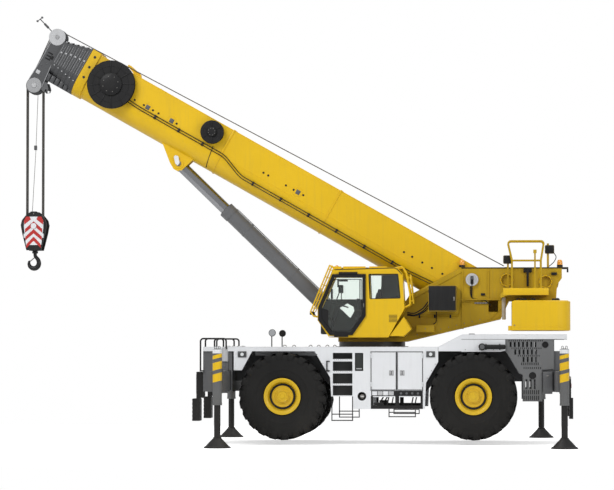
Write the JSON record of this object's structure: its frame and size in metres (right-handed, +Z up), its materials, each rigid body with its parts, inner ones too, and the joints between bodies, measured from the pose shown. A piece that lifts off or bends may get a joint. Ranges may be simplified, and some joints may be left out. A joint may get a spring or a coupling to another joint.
{
  "type": "rough-terrain mobile crane",
  "caption": "Rough-terrain crane: wheeled chassis on outriggers, slewing cab and counterweight, telescopic boom on a lift cylinder, hook block on rope falls.",
  "frame": {"origin": "on the ground plane under the middle of the machine's bounding box, boom as stored", "axes": "-X towards the front, -Y towards the operator's side, +Z up"},
  "size_m": [12.1244, 7.8598, 9.377],
  "materials": {
    "yellow_paint": "gloss yellow paint",
    "white_paint": "white paint",
    "grey_paint": "dark grey paint",
    "light_grey_paint": "light grey paint",
    "black_paint": "black paint",
    "machined_steel": "machined steel",
    "chrome_rod": "hard chrome plate",
    "tyre_rubber": "black tyre rubber",
    "cab_glazing": "tinted glass",
    "seat_fabric": "dark seat cloth",
    "cast_block": "cast engine block"
  },
  "bodies": {
    "chassis": {"chassis_frame": "grey_paint", "deck": "white_paint", "hood": "white_paint", "grille_panels": "grey_paint", "body_panels": "white_paint", "engine": "cast_block", "axle_front": "grey_paint", "axle_rear": "grey_paint", "outrigger_boxes": "grey_paint", "steps_and_rails": "black_paint", "exhaust": "black_paint", "slew_ring": "machined_steel"},
    "steer_front_left": {"knuckle_front_left": "grey_paint"},
    "wheel_front_left": {"tyre_front_left": "tyre_rubber", "rim_front_left": "yellow_paint"},
    "steer_front_right": {"knuckle_front_right": "grey_paint"},
    "wheel_front_right": {"tyre_front_right": "tyre_rubber", "rim_front_right": "yellow_paint"},
    "steer_rear_left": {"knuckle_rear_left": "grey_paint"},
    "wheel_rear_left": {"tyre_rear_left": "tyre_rubber", "rim_rear_left": "yellow_paint"},
    "steer_rear_right": {"knuckle_rear_right": "grey_paint"},
    "wheel_rear_right": {"tyre_rear_right": "tyre_rubber", "rim_rear_right": "yellow_paint"},
    "outrigger_front_left": {"outrigger_beam_front_left": "grey_paint"},
    "jack_front_left": {"jack_leg_front_left": "grey_paint"},
    "outrigger_front_right": {"outrigger_beam_front_right": "grey_paint"},
    "jack_front_right": {"jack_leg_front_right": "grey_paint"},
    "outrigger_rear_left": {"outrigger_beam_rear_left": "grey_paint"},
    "jack_rear_left": {"jack_leg_rear_left": "grey_paint"},
    "outrigger_rear_right": {"outrigger_beam_rear_right": "grey_paint"},
    "jack_rear_right": {"jack_leg_rear_right": "grey_paint"},
    "cabinet_door_front": {"cabinet_door_front": "white_paint"},
    "cabinet_door_rear": {"cabinet_door_rear": "white_paint"},
    "turntable": {"turntable_frame": "yellow_paint", "cab_shell": "yellow_paint", "cab_glass": "cab_glazing", "operator_seat": "seat_fabric", "counterweight": "yellow_paint", "winches": "yellow_paint", "platform_rail": "yellow_paint"},
    "cab_door": {"cab_door": "black_paint", "door_glass": "cab_glazing"},
    "boom_foot": {"boom_foot_pin": "machined_steel"},
    "boom": {"boom_base": "yellow_paint", "cable_reels": "black_paint"},
    "section_2": {"boom_section_2": "grey_paint"},
    "section_3": {"boom_section_3": "grey_paint"},
    "section_4": {"boom_section_4": "grey_paint"},
    "section_5": {"boom_section_5": "grey_paint"},
    "section_6": {"boom_section_6": "grey_paint"},
    "section_7": {"boom_section_7": "grey_paint", "head_sheaves": "machined_steel"},
    "falls": {"hoist_falls": "machined_steel"},
    "hook_block": {"hook_block": "yellow_paint"},
    "hook": {"hook": "black_paint"},
    "cylinder_foot": {"cylinder_foot_pin": "machined_steel"},
    "cylinder_barrel": {"lift_barrel": "grey_paint"},
    "cylinder_piston": {"lift_piston": "machined_steel"},
    "cylinder_rod": {"lift_rod": "chrome_rod"}
  },
  "joints": [
    {"name": "steer_front_left", "type": "hinge", "parent": "chassis", "child": "steer_front_left", "pos_m": [-0.189, -1.025, 1.03], "axis": [0, 0, 1], "range_deg": [-20, 20]},
    {"name": "roll_front_left", "type": "hinge", "parent": "steer_front_left", "child": "wheel_front_left", "pos_m": [-0.189, -1.275, 1.03], "axis": [0, -1, 0], "continuous": true},
    {"name": "steer_front_right", "type": "hinge", "parent": "chassis", "child": "steer_front_right", "pos_m": [-0.189, 1.025, 1.03], "axis": [0, 0, 1], "range_deg": [-20, 20]},
    {"name": "roll_front_right", "type": "hinge", "parent": "steer_front_right", "child": "wheel_front_right", "pos_m": [-0.189, 1.275, 1.03], "axis": [0, -1, 0], "continuous": true},
    {"name": "steer_rear_left", "type": "hinge", "parent": "chassis", "child": "steer_rear_left", "pos_m": [3.892, -1.025, 1.03], "axis": [0, 0, 1], "range_deg": [-20, 20]},
    {"name": "roll_rear_left", "type": "hinge", "parent": "steer_rear_left", "child": "wheel_rear_left", "pos_m": [3.892, -1.275, 1.03], "axis": [0, -1, 0], "continuous": true},
    {"name": "steer_rear_right", "type": "hinge", "parent": "chassis", "child": "steer_rear_right", "pos_m": [3.892, 1.025, 1.03], "axis": [0, 0, 1], "range_deg": [-20, 20]},
    {"name": "roll_rear_right", "type": "hinge", "parent": "steer_rear_right", "child": "wheel_rear_right", "pos_m": [3.892, 1.275, 1.03], "axis": [0, -1, 0], "continuous": true},
    {"name": "extend_front_left", "type": "slide", "parent": "chassis", "child": "outrigger_front_left", "axis": [0, -1, 0], "range_m": [-1.98, 0]},
    {"name": "jack_front_left", "type": "slide", "parent": "outrigger_front_left", "child": "jack_front_left", "axis": [0, 0, -1], "range_m": [-0.6, 0]},
    {"name": "extend_front_right", "type": "slide", "parent": "chassis", "child": "outrigger_front_right", "axis": [0, 1, 0], "range_m": [-1.98, 0]},
    {"name": "jack_front_right", "type": "slide", "parent": "outrigger_front_right", "child": "jack_front_right", "axis": [0, 0, -1], "range_m": [-0.6, 0]},
    {"name": "extend_rear_left", "type": "slide", "parent": "chassis", "child": "outrigger_rear_left", "axis": [0, -1, 0], "range_m": [-1.98, 0]},
    {"name": "jack_rear_left", "type": "slide", "parent": "outrigger_rear_left", "child": "jack_rear_left", "axis": [0, 0, -1], "range_m": [-0.6, 0]},
    {"name": "extend_rear_right", "type": "slide", "parent": "chassis", "child": "outrigger_rear_right", "axis": [0, 1, 0], "range_m": [-1.98, 0]},
    {"name": "jack_rear_right", "type": "slide", "parent": "outrigger_rear_right", "child": "jack_rear_right", "axis": [0, 0, -1], "range_m": [-0.6, 0]},
    {"name": "open_cabinet_front", "type": "hinge", "parent": "chassis", "child": "cabinet_door_front", "pos_m": [1.711, -1.516, 1.577], "axis": [0, 0, -1], "range_deg": [0, 110]},
    {"name": "open_cabinet_rear", "type": "hinge", "parent": "chassis", "child": "cabinet_door_rear", "pos_m": [2.805, -1.516, 1.577], "axis": [0, 0, 1], "range_deg": [0, 110]},
    {"name": "slew", "type": "hinge", "parent": "chassis", "child": "turntable", "pos_m": [1.668, 0, 2.144], "axis": [0, 0, 1], "continuous": true},
    {"name": "slide_cab_door", "type": "slide", "parent": "turntable", "child": "cab_door", "axis": [1, 0, 0], "range_m": [0, 0.75]},
    {"name": "boom_lower", "type": "hinge", "parent": "turntable", "child": "boom_foot", "pos_m": [3.851, 0, 3.524], "axis": [0, 1, 0], "range_deg": [-30.6, 0]},
    {"name": "boom_raise", "type": "hinge", "parent": "boom_foot", "child": "boom", "pos_m": [3.851, 0, 3.524], "axis": [0, 1, 0], "range_deg": [0, 50.4]},
    {"name": "telescope_2", "type": "slide", "parent": "boom", "child": "section_2", "axis": [-0.8695, 0, 0.4939], "range_m": [0, 7.8]},
    {"name": "telescope_3", "type": "slide", "parent": "section_2", "child": "section_3", "axis": [-0.8695, 0, 0.4939], "range_m": [0, 7.8]},
    {"name": "telescope_4", "type": "slide", "parent": "section_3", "child": "section_4", "axis": [-0.8695, 0, 0.4939], "range_m": [0, 7.8]},
    {"name": "telescope_5", "type": "slide", "parent": "section_4", "child": "section_5", "axis": [-0.8695, 0, 0.4939], "range_m": [0, 7.8]},
    {"name": "telescope_6", "type": "slide", "parent": "section_5", "child": "section_6", "axis": [-0.8695, 0, 0.4939], "range_m": [0, 7.8]},
    {"name": "telescope_7", "type": "slide", "parent": "section_6", "child": "section_7", "axis": [-0.8695, 0, 0.4939], "range_m": [0, 7.8]},
    {"name": "hook_swing", "type": "hinge", "parent": "section_7", "child": "falls", "pos_m": [-5.78037, 0, 7.85564], "axis": [0, -1, 0], "range_deg": [-30.6, 50.4]},
    {"name": "hoist", "type": "slide", "parent": "falls", "child": "hook_block", "axis": [0, 0, -1], "range_m": [-2.45, 0], "deforming": ["hoist_falls"]},
    {"name": "hook_swivel", "type": "hinge", "parent": "hook_block", "child": "hook", "pos_m": [-5.78037, 0, 4], "axis": [0, 0, 1], "continuous": true},
    {"name": "cylinder_tilt_low", "type": "hinge", "parent": "turntable", "child": "cylinder_foot", "pos_m": [1.168, 0, 2.465], "axis": [0, 1, 0], "range_deg": [-44.04, 0]},
    {"name": "cylinder_tilt_high", "type": "hinge", "parent": "cylinder_foot", "child": "cylinder_barrel", "pos_m": [1.168, 0, 2.465], "axis": [0, 1, 0], "range_deg": [0, 50.09]},
    {"name": "cylinder_stroke_low", "type": "slide", "parent": "cylinder_barrel", "child": "cylinder_piston", "axis": [-0.7165, 0, 0.6976], "range_m": [-1.061, 0.001]},
    {"name": "cylinder_stroke_high", "type": "slide", "parent": "cylinder_piston", "child": "cylinder_rod", "axis": [-0.7165, 0, 0.6976], "range_m": [-0.001, 2.457]}
  ],
  "couplings": [
    {"joint": "steer_front_right", "follows": "steer_front_left", "ratio": 1},
    {"joint": "steer_rear_right", "follows": "steer_rear_left", "ratio": 1},
    {"joint": "cylinder_tilt_low", "follows": "boom_lower", "ratio": 1.4391},
    {"joint": "cylinder_tilt_high", "follows": "boom_raise", "ratio": 0.99384},
    {"joint": "cylinder_stroke_low", "follows": "boom_lower", "m_per_rad": 1.9847},
    {"joint": "cylinder_stroke_high", "follows": "boom_raise", "m_per_rad": 2.7921}
  ]
}
